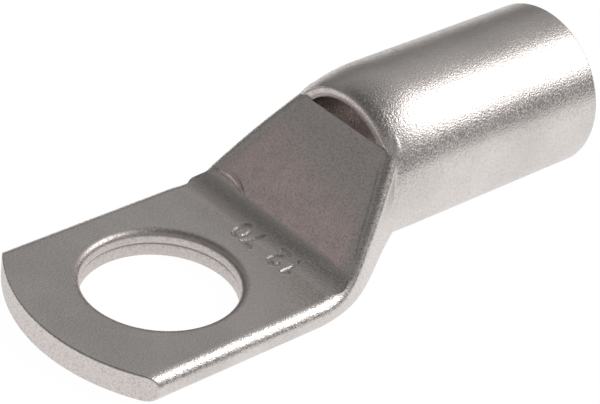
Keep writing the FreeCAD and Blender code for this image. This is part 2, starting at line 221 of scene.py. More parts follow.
class Form:
    """The lug's surface as functions of the distance along it and of the way round it."""

    def __init__(self, tube, palm, neck):
        self.tube, self.palm, self.neck = tube, palm, neck
        self.radius = tube.diameter / 2
        self.palm_half = palm.width / 2 - palm.fold
        self.slope = math.tan(neck.panel_angle)
        foot = neck.window_reach - (neck.window_sill - palm.thickness) / self.slope
        tangent = neck.panel_blend * math.tan(neck.panel_angle / 2)
        self.blend_start = foot - tangent
        self.blend_end = foot + tangent * math.cos(neck.panel_angle)
        self.neck_end = neck.window_reach + neck.flare_reach
        self.round_start = neck.window_reach + tube.shoulder_reach
        self.panel_wall = tube.wall / math.cos(neck.panel_angle)
        space = neck.window_sill - tube.wall - self.panel_wall - CLOSED
        self.closed_reach = neck.window_reach - space / self.slope

    def drawn_in(self, x):
        """Drop of the barrel's top: an arc that is tangent where the barrel is full."""
        reach, drop = self.tube.shoulder_reach, self.tube.shoulder_drop
        bend = (reach ** 2 + drop ** 2) / (2 * drop)
        away = np.clip(self.round_start - x, 0, reach)
        return bend - np.sqrt(bend ** 2 - away ** 2)

    def panel_height(self, x):
        """Height of the top: the palm, then a concave circle, then the slope's line."""
        blend = self.neck.panel_blend
        away = np.clip(x - self.blend_start, 0, blend)
        curve = self.palm.thickness + blend - np.sqrt(blend ** 2 - away ** 2)
        line = self.neck.window_sill + (x - self.neck.window_reach) * self.slope
        return np.where(x < self.blend_start, self.palm.thickness,
                        np.where(x > self.blend_end, line, curve))

    @staticmethod
    def fold_limit(height, fold, floor_half, corner):
        """Least top half width at which the fold's circle reaches out of the corner's."""
        reach, rise = corner - fold + CIRCLE_CLEAR, height - fold - corner
        return floor_half + np.sqrt(np.maximum(reach ** 2 - rise ** 2, 0))

    def outer_sizes(self, x):
        """Top, top half width, fold radius, floor half width and corner radius at x."""
        neck, palm = self.neck, self.palm
        done = np.clip((x - palm.reach) / (self.neck_end - palm.reach), 0, 1)
        early = done ** EARLY_POWER
        end_round = self.radius - self.drawn_in(self.neck_end) / 2 - KEEL
        end_top = self.fold_limit(self.panel_height(np.array(self.neck_end)),
                                  neck.panel_fold, KEEL, end_round)
        top = self.panel_height(x)
        fold = palm.fold + (neck.panel_fold - palm.fold) * done ** neck.fold_draft
        floor_done = neck.floor_early * early + (1 - neck.floor_early) * done ** neck.floor_draft
        corner_done = (neck.corner_early * early
                       + (1 - neck.corner_early) * done ** neck.corner_draft)
        wave = ((1 - np.cos(neck.press_angle * done ** neck.panel_draft))
                / (1 - math.cos(neck.press_angle)))
        floor_half = self.palm_half + (KEEL - self.palm_half) * floor_done
        corner = palm.fold + (end_round - palm.fold) * corner_done
        top_half = np.maximum(self.palm_half + (end_top - self.palm_half) * wave,
                              self.fold_limit(top, fold, floor_half, corner))
        return top, top_half, fold, floor_half, corner

    def inner_sizes(self, x):
        """The same one wall further in."""
        wall = self.tube.wall
        top, top_half, fold, floor_half, corner = self.outer_sizes(x)
        in_fold = np.maximum(fold - wall, INSIDE_ROUND)
        in_corner = np.maximum(corner - wall, INSIDE_ROUND)
        in_floor = floor_half + corner - wall - in_corner
        in_top = top - self.panel_wall
        in_half = np.maximum(top_half + fold - wall - in_fold,
                             self.fold_limit(in_top - wall, in_fold, in_floor, in_corner))
        return in_top, in_half, in_fold, in_floor, in_corner

    def outer_circle(self, x):
        """Centre height and radius of the shoulder and barrel, rounded at its sheared edge."""
        into = np.clip(1 - (x - self.neck.window_reach) / self.tube.edge_reach, 0, 1)
        lost = self.tube.edge_round * (1 - np.sqrt(1 - into ** 2))
        half = self.radius - self.drawn_in(x) / 2
        return half, half - lost

    def inner_circle(self, x):
        """Centre height and radius of the bore."""
        wall, tube = self.tube.wall, self.tube
        left = np.clip((self.round_start - x) / tube.shoulder_reach, 0, 1)
        here = wall - tube.shoulder_thinning * left
        top = 2 * self.radius - self.drawn_in(x) - here
        half = (top - wall) / 2
        return wall + half, half

    def tip(self, y):
        """Reach of the sheared end at y: an arc about a centre on the lug's axis."""
        radius = self.palm.tip_radius
        return radius - self.palm.tip_reach - np.sqrt(radius ** 2 - y ** 2)



# steps round a fold, down a side, round a lower corner and across a top
FOLD_STEPS, SIDE_STEPS, CORNER_STEPS, SECTION_STEPS = 22, 4, 22, 60
FOLD_CROWDING = 1.4  # draws a fold's steps together beside the panel
FOLD_SWEEP = np.linspace(0, 1, FOLD_STEPS + 1)[1:] ** FOLD_CROWDING


def smooth(value):
    """Eased step from 0 to 1."""
    value = np.clip(value, 0, 1)
    return value * value * (3 - 2 * value)


def side_lean(sizes, floor):
    """Bearing at which the straight side is tangent to the fold's and the corner's arcs."""
    top, top_half, fold, floor_half, corner = sizes
    over, rise = top_half - floor_half, (top - fold) - (floor + corner)
    touch = np.arccos(np.clip((corner - fold) / np.hypot(over, rise), -1, 1))
    return np.arctan2(rise, over) - touch


def half_loop(sizes, floor, across):
    """Right half of a section, from the middle of its top to the middle of its floor.

    Top line, fold's arc, straight side tangent to both arcs, lower corner's arc, floor line.
    """
    columns = [np.atleast_1d(size)[:, None] for size in sizes]
    top, top_half, fold, floor_half, corner = columns
    lean = side_lean(columns, floor)
    first = math.pi / 2 + (lean - math.pi / 2) * FOLD_SWEEP
    second = lean + (-math.pi / 2 - lean) * np.linspace(0, 1, CORNER_STEPS + 1)
    fold_y, fold_z = top_half + fold * np.cos(first), top - fold + fold * np.sin(first)
    low_y = floor_half + corner * np.cos(second)
    low_z = floor + corner + corner * np.sin(second)
    part = np.linspace(0, 1, SIDE_STEPS + 2)[1:-1]
    side_y = fold_y[:, -1:] + (low_y[:, :1] - fold_y[:, -1:]) * part
    side_z = fold_z[:, -1:] + (low_z[:, :1] - fold_z[:, -1:]) * part
    back = across[::-1][1:]
    y = np.hstack([top_half * across, fold_y, side_y, low_y, floor_half * back])
    z = np.hstack([top + 0 * across, fold_z, side_z, low_z, floor + 0 * floor_half * back])
    return y, z


# the press's marks on the panel, in millimetres
DISH_START, DISH_RUN = 0.9, 2.2      # the dish begins this far past the blend's start
SILL_RUN = 2.0                       # it grows shallower over this length before the window
CREASE_RISE, CREASE_FALL = 1.6, 3.4  # the crease spreads at the foot, and closes again
SILL_RISE = 1.3                      # and it spreads once more before the window


def pressed_loop(form, x, across):
    """The neck's outside with the panel pressed in below its folds.

    The crease lies out on the fold. Up to it the top is one dish below the sheet, and past it
    the fold's own arc is met again within the width of the flank.
    """
    neck = form.neck
    sizes = form.outer_sizes(x)
    y, z = half_loop(sizes, 0.0, across)
    columns = [size[:, None] for size in sizes]
    top, top_half, fold = columns[:3]
    past_start, past_edge = x[:, None] - form.blend_start, x[:, None] - neck.window_reach
    dish = neck.dish * (smooth((past_start - DISH_START) / DISH_RUN)
                        * (1 - (1 - SILL_DISH) * smooth(1 + past_edge / SILL_RUN)))
    out = (neck.crease_foot * smooth(past_start / CREASE_RISE)
           * (1 - smooth((past_start - CREASE_RISE) / CREASE_FALL))
           + neck.crease_sill * smooth(1 + past_edge / SILL_RISE))
    start = np.arccos(np.clip(out / fold, 0, 1))
    along = fold * (start - side_lean(columns, 0.0)) * FOLD_SWEEP
    turn = start - along / fold
    bare_y, bare_z = top_half + fold * np.cos(turn), top - fold + fold * np.sin(turn)
    flank = 1 - smooth(along / neck.flank)
    first, last = len(across), len(across) + FOLD_STEPS
    y[:, first:last] = bare_y
    z[:, first:last] = bare_z + np.minimum(top - dish - bare_z, 0) * flank
    y[:, :first] = (top_half + out) * across
    z[:, :first] = top - dish
    return y, z


def ray_to_circle(turn, middle, centre, radius):
    """Distance from (0, middle) to a circle about (0, centre), in the directions turn."""
    off = centre - middle
    return off * np.sin(turn) + np.sqrt(radius ** 2 - (off * np.cos(turn)) ** 2)


def rays_to_section(turn, middle, sizes, floor):
    """Distance from (0, middle) to a section's outline, row by row."""
    y, z = half_loop(sizes, floor, np.linspace(0, 1, SECTION_STEPS))
    rows = []
    for index in range(len(y)):
        high = z[index] - middle[index]
        bearing = np.arctan2(high, y[index])
        order = np.argsort(bearing)
        rows.append(np.interp(turn, bearing[order], np.hypot(y[index], high)[order]))
    return np.array(rows)


class Skin:
    """Patches of the surface; each is a grid whose edges meet its neighbours' edges."""

    def __init__(self):
        self.points, self.faces, self.marks, self.count = [], [], [], 0

    def add(self, x, y, z, cut=0.0, inside=0.0):
        """Add a grid of points, and the same grid mirrored in y."""
        x, y, z = np.broadcast_arrays(x, y, z)
        rows, columns = x.shape
        corner = (np.arange(rows - 1)[:, None] * columns + np.arange(columns - 1)).ravel()
        quads = np.stack([corner, corner + 1, corner + columns + 1, corner + columns], axis=1)
        for side in (1, -1):
            self.points.append(np.stack([x, y * side, z], axis=2).reshape(-1, 3))
            self.marks.append(np.tile([cut, inside], (x.size, 1)))
            self.faces.append(quads + self.count)
            self.count += x.size


def fine_rows(*stops):
    """Places from (start, steps), (next, steps) to the end; each stretch is even."""
    places = [np.array([stops[0][0]])]
    for (start, steps), (end, _) in zip(stops, stops[1:]):
        places.append(np.linspace(start, end, steps + 1)[1:])
    return np.concatenate(places)


# the skin's rows and cut faces, in millimetres unless said
FINE_COLUMNS, WIDE_COLUMNS = 54, 11   # columns across the middle of the top, and beside it
BEFORE_FOOT, PAST_FOOT = 0.5, 0.7     # closely spaced rows about the foot of the panel
BEFORE_EDGE, PAST_EDGE = 0.3, 0.15    # and about the sheared edge
BEFORE_MOUTH = 0.05                   # last row ahead of the mouth's broken edge
MOUTH_POWER = 1.6                     # curve of that edge; 1 is a flat chamfer
FILLET = 0.35                         # width of the fillet between neck and shoulder
FILLET_IN, FILLET_OUT = 0.7, 0.4      # lengths over which it comes and goes
FILLET_LOW, FILLET_SWEEP = 20, 40     # degrees below the middle where it begins, and its run
TINY = 1e-6                           # keeps the fillet from being nothing
CUT_FULL = 0.6                        # width of the cut face from which it is fully broken
SILL_SHADE, HOLE_SHADE = 0.5, 0.35  # shares of the inside colour's painted shade on two cut faces: the window's sill and the hole's wall

# the barrel's cut face: share of the way across it, and depth of its broken surface
CUT_FACE = ((0, 0), (0.1, 0.05), (0.3, 0.06), (0.5, 0), (0.7, 0.05), (0.9, 0.08), (1, 0))


def top_columns(form):
    """Shares of the way across the top, one of them at the window's end."""
    neck = form.neck
    centre, half = form.inner_circle(neck.window_reach)
    sill_height = neck.window_sill - neck.dish * SILL_DISH
    window_half = math.sqrt(half ** 2 - (sill_height - centre) ** 2)
    top_half = float(form.outer_sizes(np.array(neck.window_reach))[1]) + neck.crease_sill
    fine = FINE_HALF / form.palm_half
    across = np.concatenate([np.linspace(0, fine, FINE_COLUMNS),
                             np.linspace(fine, 1, WIDE_COLUMNS)[1:]])
    across[np.argmin(np.abs(across - window_half / top_half))] = window_half / top_half
    return across


def lug_skin(form):
    """The whole surface, in millimetres."""
    tube, palm, neck = form.tube, form.palm, form.neck
    skin = Skin()
    across = top_columns(form)
    edge, middle = neck.window_reach, form.radius
    chamfer_start = tube.mouth_reach - tube.mouth_chamfer

    # neck outside, from the palm to the sheared edge
    x = fine_rows((palm.reach, 16), (form.blend_start, 20), (form.blend_end - BEFORE_FOOT, 24),
                  (form.blend_end + PAST_FOOT, 22), (edge - BEFORE_EDGE, 6), (edge, 0))
    y, z = pressed_loop(form, x, across)
    skin.add(x[:, None], y, z)

    # the plane of the sheared edge
    turn = np.arctan2(z[-1] - middle, y[-1])
    neck_out = np.hypot(y[-1], z[-1] - middle)
    ring_out = ray_to_circle(turn, middle, *form.outer_circle(edge))
    ring_in = ray_to_circle(turn, middle, *form.inner_circle(edge))
    cavity = rays_to_section(turn, [middle], form.inner_sizes(np.array([edge])), tube.wall)[0]
    outside, bore = np.maximum(neck_out, ring_out), np.maximum(ring_in, cavity)

    def polar(x, reach, cut=0.0, inside=0.0, centre=middle):
        """Add a grid given by its reach from the middle in the directions turn."""
        skin.add(x, reach * np.cos(turn), centre + reach * np.sin(turn), cut, inside)

    # the barrel's cut face, broken along its middle, and the panel's cut edge
    step, broken = np.array(CUT_FACE).T[:, :, None]
    lip = np.maximum(ring_in, neck_out)
    polar(edge + broken * np.clip((outside - lip) / CUT_FULL, 0, 1),
          outside + (lip - outside) * step, cut=1.0)
    sill = np.minimum(neck_out, bore)
    # the window's sill takes part of the inside colour as painted shade
    polar(edge, sill + (cavity - sill) * np.linspace(0, 1, 4)[:, None], cut=1.0,
          inside=SILL_SHADE)

    # barrel outside: the larger of neck and shoulder, then the round barrel
    x = fine_rows((edge, 6), (edge + PAST_EDGE, 14), (form.neck_end, 16), (form.round_start, 8),
                  (chamfer_start - BEFORE_MOUTH, 1), (chamfer_start, 3), (tube.mouth_reach, 0))
    circle = ray_to_circle(turn, middle, *(size[:, None] for size in form.outer_circle(x)))
    in_neck = x <= form.neck_end
    section = rays_to_section(turn, np.full(in_neck.sum(), middle),
                              form.outer_sizes(x[in_neck]), 0.0)
    fillet = TINY + (FILLET * smooth((x[in_neck] - edge) / FILLET_IN)[:, None]
                     * smooth((np.degrees(turn) + FILLET_LOW) / FILLET_SWEEP)
                     * smooth((form.neck_end - x[in_neck]) / FILLET_OUT)[:, None])
    gap = np.clip(1 - np.abs(circle[in_neck] - section) / fillet, 0, 1)
    circle[in_neck] = np.maximum(circle[in_neck], section) + gap ** 2 * fillet / 4
    circle[0] = outside
    bevel = np.clip(x - chamfer_start, 0, None)[:, None]
    circle = circle - bevel ** MOUTH_POWER / tube.mouth_chamfer ** (MOUTH_POWER - 1)
    polar(x[:, None], circle)
    mouth_out = circle[-1]

    # bore, and the cut face at the mouth
    x = fine_rows((edge, 8), (form.neck_end, 10), (form.round_start, 8), (chamfer_start, 2),
                  (tube.mouth_reach, 0))
    circle = ray_to_circle(turn, middle, *(size[:, None] for size in form.inner_circle(x)))
    in_neck = x <= form.neck_end
    section = rays_to_section(turn, np.full(in_neck.sum(), middle),
                              form.inner_sizes(x[in_neck]), tube.wall)
    circle[in_neck] = np.maximum(circle[in_neck], section)
    circle[0] = bore
    circle = circle + np.clip(x - chamfer_start, 0, None)[:, None]
    # the bore takes the darker inside colour, a painted shade
    polar(x[:, None], circle, inside=1.0)
    polar(tube.mouth_reach, mouth_out + (circle[-1] - mouth_out) * np.linspace(0, 1, 4)[:, None],
          cut=1.0)

    # the space below the panel, which closes at its foot
    x = np.linspace(edge, form.closed_reach, 20)
    sizes = form.inner_sizes(x)
    lift = (middle - tube.wall) / (sizes[0][0] - tube.wall)
    heart = tube.wall + (sizes[0] - tube.wall) * lift
    reach = rays_to_section(turn, heart, sizes, tube.wall)
    reach[0] = cavity
    reach = np.vstack([reach, 0 * reach[-1:]])
    x, heart = np.append(x, x[-1]), np.append(heart, heart[-1])
    # the space below the panel takes the same painted shade
    polar(x[:, None], reach, inside=1.0, centre=heart[:, None])

    add_palm(skin, form, across)
    return skin


TIP_STEPS = 34
# rows of a flat face: share of the way from its outline to the hole, and steps to the next
FACE_ROWS = ((0, 5), (0.035, 1), (0.05, 22), (1, 0))
# the line between the two walls: share of its depth, and height above its middle
SEAM_LINE = ((0, 0.3), (0, 0.1), (0.6, 0.04), (1, 0), (0.7, -0.05), (0.25, -0.12), (0.2, -0.4))
# the hole's lower edge: how far out from the hole's wall, and height
LOWER_EDGE = ((0.02, 0.2), (0.03, 0.06), (0.06, 0.0))


def add_palm(skin, form, across):
    """The palm: flat faces round the hole, folded edges and the sheared end."""
    palm = form.palm
    columns_y, columns_z = half_loop([np.array([v]) for v in (
        palm.thickness, form.palm_half, palm.fold, form.palm_half, palm.fold)], 0.0, across)
    first, last = len(across) - 1, columns_y.shape[1] - len(across)
    fold_y, fold_z = columns_y[0, first:last + 1], columns_z[0, first:last + 1]
    middle, radius = palm.thickness / 2, palm.hole / 2

    def thinned(x, y, z):
        """Both faces round off towards the sheared end, along a quarter circle."""
        into = np.clip(1 - (x - form.tip(y)) / palm.edge_round, 0, 1)
        lost = palm.edge_round * (1 - np.sqrt(1 - into ** 2))
        return middle + (z - middle) * (1 - lost / middle)

    # folded long edge: rows run from the neck to the sheared end
    near = palm.edge_round / (palm.reach - form.tip(form.palm_half))
    along = fine_rows((0, 40), (1 - 1.5 * near, 1), (1 - near, 5), (1, 0))[:, None]
    x = palm.reach + (form.tip(fold_y) - palm.reach) * along
    skin.add(x, fold_y, thinned(x, fold_y, fold_z))

    # the outline of a flat face, from the neck round the side to the middle of the tip
    tip_y = form.palm_half * np.linspace(1, 0, TIP_STEPS)[1:]
    side_x = palm.reach + (form.tip(form.palm_half) - palm.reach) * along[1:, 0]
    outline_x = np.concatenate([np.full(len(across), palm.reach), side_x, form.tip(tip_y)])
    outline_y = np.concatenate([form.palm_half * across,
                                np.full(len(side_x), form.palm_half), tip_y])
    bearing = np.arctan2(outline_y, outline_x)
    rim_x, rim_y = np.cos(bearing), np.sin(bearing)
    inward = fine_rows(*FACE_ROWS)[:, None]
    for level, rim in ((palm.thickness, palm.rollover), (0.0, LOWER_EDGE[-1][0])):
        x = outline_x + (rim_x * (radius + rim) - outline_x) * inward
        y = outline_y + (rim_y * (radius + rim) - outline_y) * inward
        skin.add(x, y, thinned(x, y, level + 0 * x))

    # hole: drawn-in rim, wall with the line between the two walls, lower edge
    swing = np.linspace(math.pi / 2, 0, 9)
    reach = radius + palm.rollover * (1 - np.cos(swing))
    height = palm.thickness - palm.rollover * (1 - np.sin(swing))
    reach = np.concatenate([reach, [radius + palm.seam * deep for deep, _ in SEAM_LINE],
                            [radius + out for out, _ in LOWER_EDGE]])
    height = np.concatenate([height, [middle + up for _, up in SEAM_LINE],
                             [up for _, up in LOWER_EDGE]])
    # the hole's wall takes part of the inside colour as painted shade, standing in for the
    # darker floor that it mirrors
    skin.add(rim_x * reach[:, None], rim_y * reach[:, None], height[:, None], cut=1.0,
             inside=HOLE_SHADE)

    # sheared end: upright lines between the faces, then across to the folded edge
    up = fold_z[:, None]
    wide = form.palm_half * np.linspace(0, 1, TIP_STEPS)
    x = form.tip(wide) + 0 * up
    skin.add(x, wide, thinned(x, wide, up), cut=1.0)
    wide = form.palm_half + (fold_y - form.palm_half)[:, None] * np.linspace(0, 1, 4)
    x = form.tip(wide)
    skin.add(x, wide, thinned(x, wide, up), cut=1.0)


# the stamped figures; a figure's height is 1 where no unit is said
CELL = 0.62                 # width of a figure
SPACING = 1.45              # from one figure's start to the next, in widths
STARTS = (-0.6, -5.2)       # where the two numbers start along y, in millimetres
NEAR_STAMP = 2.0            # half the length of the palm that they can reach, in millimetres
TOP_DEPTH = 0.4             # how far below the top a point still belongs to it, in millimetres
STROKE_EDGE = 1.25          # where a stroke runs out, in half strokes
LIP, LIP_WIDTH = 1.5, 0.55  # place and width of the lip beside it, in half strokes
LIP_HEIGHT = 0.2            # share of the stroke's depth
FAR = 1e3                   # further than any stroke, in millimetres


def bow(x, y, across, up, start, end):
    """Points along an ellipse's arc, in degrees."""
    turn = np.radians(np.linspace(start, end, 15))
    return [(x + across * math.cos(a), y + up * math.sin(a)) for a in turn]


# each figure is a list of strokes, and each stroke is a run of points
FIGURES = {
    "0": [bow(0.31, 0.5, 0.31, 0.5, 0, 360)],
    "1": [[(0.08, 0.78), (0.36, 1.0), (0.36, 0.0)]],
    "2": [bow(0.31, 0.69, 0.3, 0.31, 170, -35) + [(0.0, 0.0), (0.62, 0.0)]],
    "3": [bow(0.28, 0.74, 0.29, 0.26, 150, -90), bow(0.28, 0.24, 0.33, 0.24, 90, -150)],
    "4": [[(0.46, 0.0), (0.46, 1.0), (0.0, 0.3), (0.62, 0.3)]],
    "5": [[(0.56, 1.0), (0.1, 1.0), (0.06, 0.56)] + bow(0.28, 0.32, 0.33, 0.32, 110, -150)],
    "6": [bow(0.31, 0.3, 0.3, 0.3, 0, 360), bow(0.62, 0.3, 0.62, 0.7, 180, 110)],
    "7": [[(0.0, 1.0), (0.62, 1.0), (0.22, 0.0)]],
    "8": [bow(0.31, 0.75, 0.26, 0.25, 0, 360), bow(0.31, 0.26, 0.31, 0.26, 0, 360)],
    "9": [bow(0.31, 0.7, 0.3, 0.3, 0, 360), bow(0.0, 0.7, 0.62, 0.7, 0, -70)],
}


def stroke_distance(right, up, number, height):
    """Distance of each point from the nearest stroke of a number that starts at (0, 0)."""
    nearest = np.full(right.shape, FAR)
    for place, figure in enumerate(str(number)):
        for run in FIGURES[figure]:
            run = (np.array(run) + [place * CELL * SPACING, 0]) * height
            for start, end in zip(run, run[1:]):
                along = end - start
                part = (right - start[0]) * along[0] + (up - start[1]) * along[1]
                part = np.clip(part / (along @ along), 0, 1)
                away = np.hypot(right - start[0] - part * along[0],
                                up - start[1] - part * along[1])
                nearest = np.minimum(nearest, away)
    return nearest


def stamp(points, form, marks):
    """Press the figures into the top: a round-bottomed stroke with a small raised lip."""
    x, y, z = points.T
    near = ((np.abs(x - marks.reach) < NEAR_STAMP) & (np.abs(y) < FINE_HALF)
            & (z > form.panel_height(x) - TOP_DEPTH))
    up = marks.height / 2 - (x[near] - marks.reach)
    nearest = np.minimum(*(stroke_distance(y[near] - start, up, number, marks.height)
                           for number, start in zip((marks.conductor, marks.stud), STARTS)))
    away = nearest / (marks.stroke / 2)
    deep = smooth(STROKE_EDGE - away)
    lip = np.exp(-((away - LIP) / LIP_WIDTH) ** 2)
    points[near, 2] += marks.depth * (LIP_HEIGHT * lip - deep)
    return points


# the bead, in millimetres
BEAD_SPAN = 0.5, 1.5              # nearness to the top, and reach past the panel's foot
BEAD_WIDTH = 0.13                 # half width of its bell curve
CREST, CREST_MIDDLE = 0.15, 7.0   # the crest is furthest past the foot by this, at this y
CREST_BEND = 0.07                 # how strongly it curves back, per millimetre
BEAD_START, BEAD_RISE = 4.2, 1.5  # where it starts along y, and the run to its full height
BEAD_END, BEAD_FALL = 0.3, 0.8    # it ends this far before the fold, over this run


def raise_bead(points, form):
    """Raise the short curved bead that the press left at one end of the panel's foot.

    Its crest is a parabola over y, and across it the height is a bell curve.
    """
    x, y, z = points.T
    near = ((np.abs(z - form.panel_height(x)) < BEAD_SPAN[0])
            & (x < form.blend_end + BEAD_SPAN[1]) & (y > BEAD_START))
    x, y = x[near], y[near]
    crest = form.blend_end + CREST - CREST_BEND * (y - CREST_MIDDLE) ** 2
    bell = np.exp(-((x - crest) / BEAD_WIDTH) ** 2) * smooth((y - BEAD_START) / BEAD_RISE)
    points[near, 2] += (form.neck.bead * bell
                        * smooth((form.palm_half - BEAD_END - y) / BEAD_FALL))
    return points


# where the press smoothed the plate and where it is worn, in millimetres
TOP_NEAR = 0.6                      # nearness to the top
PRESS_FOOT, PRESS_RUN = 10.0, 0.4   # the press's mark begins here at y = 0, over this run
PRESS_SLANTS = 0.1, 0.29            # slant of that line towards +Y and towards -Y
PRESS_SIDE, PRESS_FADE = 0.35, 0.5  # it ends this far out on the folds, over this fade
WORN_FOOT, WORN_RUN = 0.4, 0.3      # wear begins this far before the end of the blend
WORN_END, WORN_SLANT, WORN_TAIL = 17.2, 0.15, 3.2  # its end at y = 0, slant and tail
WORN_SIDE, WORN_FADE = 0.2, 1.6     # it ends this far out on the folds, over this fade


def pressed_and_worn(points, form):
    """Two values from 0 to 1 at each point: smoothed by the press, and worn thin."""
    x, y, z = points.T
    on_panel = (np.abs(z - form.panel_height(x)) < TOP_NEAR) & (x < form.neck.window_reach)
    half = form.outer_sizes(np.clip(x, form.palm.reach, form.neck.window_reach))[1]
    foot = PRESS_FOOT - np.where(y > 0, *PRESS_SLANTS) * y
    pressed = (smooth((x - foot) / PRESS_RUN) * on_panel
               * smooth((half + PRESS_SIDE - np.abs(y)) / PRESS_FADE))
    worn = (smooth((x - form.blend_end + WORN_FOOT) / WORN_RUN) * on_panel
            * smooth((WORN_END + WORN_SLANT * y - x) / WORN_TAIL)
            * smooth((half + WORN_SIDE - np.abs(y)) / WORN_FADE))
    return pressed, worn


def node(tree, kind, inputs=(), **values):
    """Add a shader node; inputs are (socket, value or output)."""
    made = tree.nodes.new(kind)
    for name, value in values.items():
        setattr(made, name, value)
    for name, value in dict(inputs).items():
        socket = made.inputs[name]
        if isinstance(value, bpy.types.NodeSocket):
            tree.links.new(value, socket)
        else:
            socket.default_value = value
    return made


def mask(tree, value, low, high, least=0.0, most=1.0):
    """Map a value from low..high to least..most, which is 0..1 unless said."""
    return node(tree, "ShaderNodeMapRange",
                {"Value": value, "From Min": low, "From Max": high, "To Min": least,
                 "To Max": most}).outputs["Result"]


def math_node(tree, operation, first, second):
    """Result of an operation on two values."""
    return node(tree, "ShaderNodeMath", {0: first, 1: second}, operation=operation).outputs[0]


def mix_colour(tree, factor, first, second):
    """Colour between the first, at 0, and the second, at 1."""
    made = node(tree, "ShaderNodeMix", data_type="RGBA")
    for socket, value in ((made.inputs[0], factor), (made.inputs[6], first),
                          (made.inputs[7], second)):
        if isinstance(value, bpy.types.NodeSocket):
            tree.links.new(value, socket)
        else:
            socket.default_value = (*value, 1.0)
    return made.outputs[2]


def noise(tree, place, scale, detail, roughness):
    """Value of a cloud noise."""
    return node(tree, "ShaderNodeTexNoise", {"Vector": place, "Scale": scale, "Detail": detail,
                                             "Roughness": roughness}).outputs["Fac"]


# what the mesh carries for the plate, each from 0 to 1
MARKS = ("burnish", "worn", "cut", "inside")
# noises in the plate: scale per metre, detail and roughness
GRAIN = (6200.0, 1.0, 0.5)
PITS = (5200.0, 1.0, 0.6)
PATCHES = (900.0, 4.0, 0.6)
SLOW = (160.0, 2.0, 0.5)
SLOW_LEVEL = 0.9                          # brightness of the tin where that noise is low
SPECK = 0.11                              # darkness of a speck in the grain
ROUGH, CUT_ROUGH, PIT_ROUGH = 0.28, 0.08, 0.2  # roughness, and more on cut faces and in pits
GRAIN_DEPTH = 0.000036                    # in metres
GRAIN_STRENGTH, PRESSED_GRAIN = 0.8, 0.2  # and the share of it left by the press


def tinned_copper(colours):
    """Tumbled tin plate: fine bright grain, rubbed smooth and pinkish on the panel."""
    material = bpy.data.materials.new("tinned_copper")
    material.use_nodes = True
    tree = material.node_tree
    tree.nodes.clear()
    place = node(tree, "ShaderNodeTexCoord").outputs["Object"]
    burnish, worn, cut, inside = (
        node(tree, "ShaderNodeAttribute", attribute_name=name).outputs["Fac"] for name in MARKS)
    grain, pits, patches, slow = (
        noise(tree, place, *kind) for kind in (GRAIN, PITS, PATCHES, SLOW))

    base = mix_colour(tree, mask(tree, slow, 0.62, 0.36), colours.tin,
                      [level * SLOW_LEVEL for level in colours.tin])
    base = mix_colour(tree, burnish, base, colours.pressed)
    blush = math_node(tree, "MULTIPLY", worn, mask(tree, patches, 0.2, 0.62))
    base = mix_colour(tree, blush, base, colours.blush)
    base = mix_colour(tree, cut, base, colours.cut)
    # painted shade: the darker inside colour on the bore, the space below the panel and part of
    # two cut faces
    base = mix_colour(tree, inside, base, colours.inside)
    specks = mask(tree, grain, 0.62, 0.32, 0.0, SPECK)
    base = mix_colour(tree, specks, base, (0.0, 0.0, 0.0))

    rough = mask(tree, cut, 0.0, 1.0, ROUGH, ROUGH + CUT_ROUGH)
    rough = math_node(tree, "ADD", rough, mask(tree, pits, 0.5, 0.62, 0.0, PIT_ROUGH))
    strength = mask(tree, math_node(tree, "MAXIMUM", burnish, cut), 0.0, 1.0,
                    GRAIN_STRENGTH, GRAIN_STRENGTH * PRESSED_GRAIN)
    bump = node(tree, "ShaderNodeBump", {"Height": grain, "Distance": GRAIN_DEPTH,
                                         "Strength": strength})
    shader = node(tree, "ShaderNodeBsdfPrincipled",
                  {"Base Color": base, "Metallic": 1.0, "Roughness": rough,
                   "Normal": bump.outputs["Normal"]})
    node(tree, "ShaderNodeOutputMaterial", {"Surface": shader.outputs["BSDF"]})
    return material


WELD = 2e-6         # points closer than this, in metres, are one
NO_LENGTH = 1e-7    # edges shorter than this are taken out
SHARP = 38          # degrees between faces that are shaded apart


def weld(mesh):
    """Join the patches into one closed surface that faces outwards."""
    shape = bmesh.new()
    shape.from_mesh(mesh)
    bmesh.ops.remove_doubles(shape, verts=shape.verts, dist=WELD)
    bmesh.ops.dissolve_degenerate(shape, edges=shape.edges, dist=NO_LENGTH)
    bmesh.ops.recalc_face_normals(shape, faces=shape.faces)
    open_edges = sum(1 for edge in shape.edges if len(edge.link_faces) != 2)
    if open_edges:
        raise RuntimeError("the lug's surface has %d open edges" % open_edges)
    if shape.calc_volume(signed=True) < 0:
        bmesh.ops.reverse_faces(shape, faces=shape.faces)
    shape.to_mesh(mesh)
    shape.free()
    mesh.shade_smooth()
    mesh.set_sharp_from_angle(angle=math.radians(SHARP))


class LUG_OT_body(Operator):
    """Build the lug's one-piece body and plate it"""

    bl_idname = "lug.body"
    bl_label = "Lug body"

    def execute(self, context):
        scene = context.scene
        form = Form(in_mm(scene.lug_tube), in_mm(scene.lug_palm), in_mm(scene.lug_neck))
        skin = lug_skin(form)
        points, marks = np.vstack(skin.points), np.vstack(skin.marks)
        points = raise_bead(stamp(points, form, in_mm(scene.lug_stamp)), form)
        points[:, 2] = np.maximum(points[:, 2], 0)
        mesh = bpy.data.meshes.new("lug_body")
        mesh.from_pydata(points * MM, [], np.vstack(skin.faces).tolist())
        for name, values in zip(MARKS, (*pressed_and_worn(points, form), *marks.T)):
            layer = mesh.attributes.new(name, "FLOAT", "POINT")
            layer.data.foreach_set("value", values.astype(np.float32))
        weld(mesh)
        body = bpy.data.objects.new("lug_body", mesh)
        context.collection.objects.link(body)
        mesh.materials.append(tinned_copper(scene.lug_finish))
        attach(body, "root")
        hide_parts("cable_lug")
        return {"FINISHED"}


WHITE = (1.0, 1.0, 1.0, 1.0)
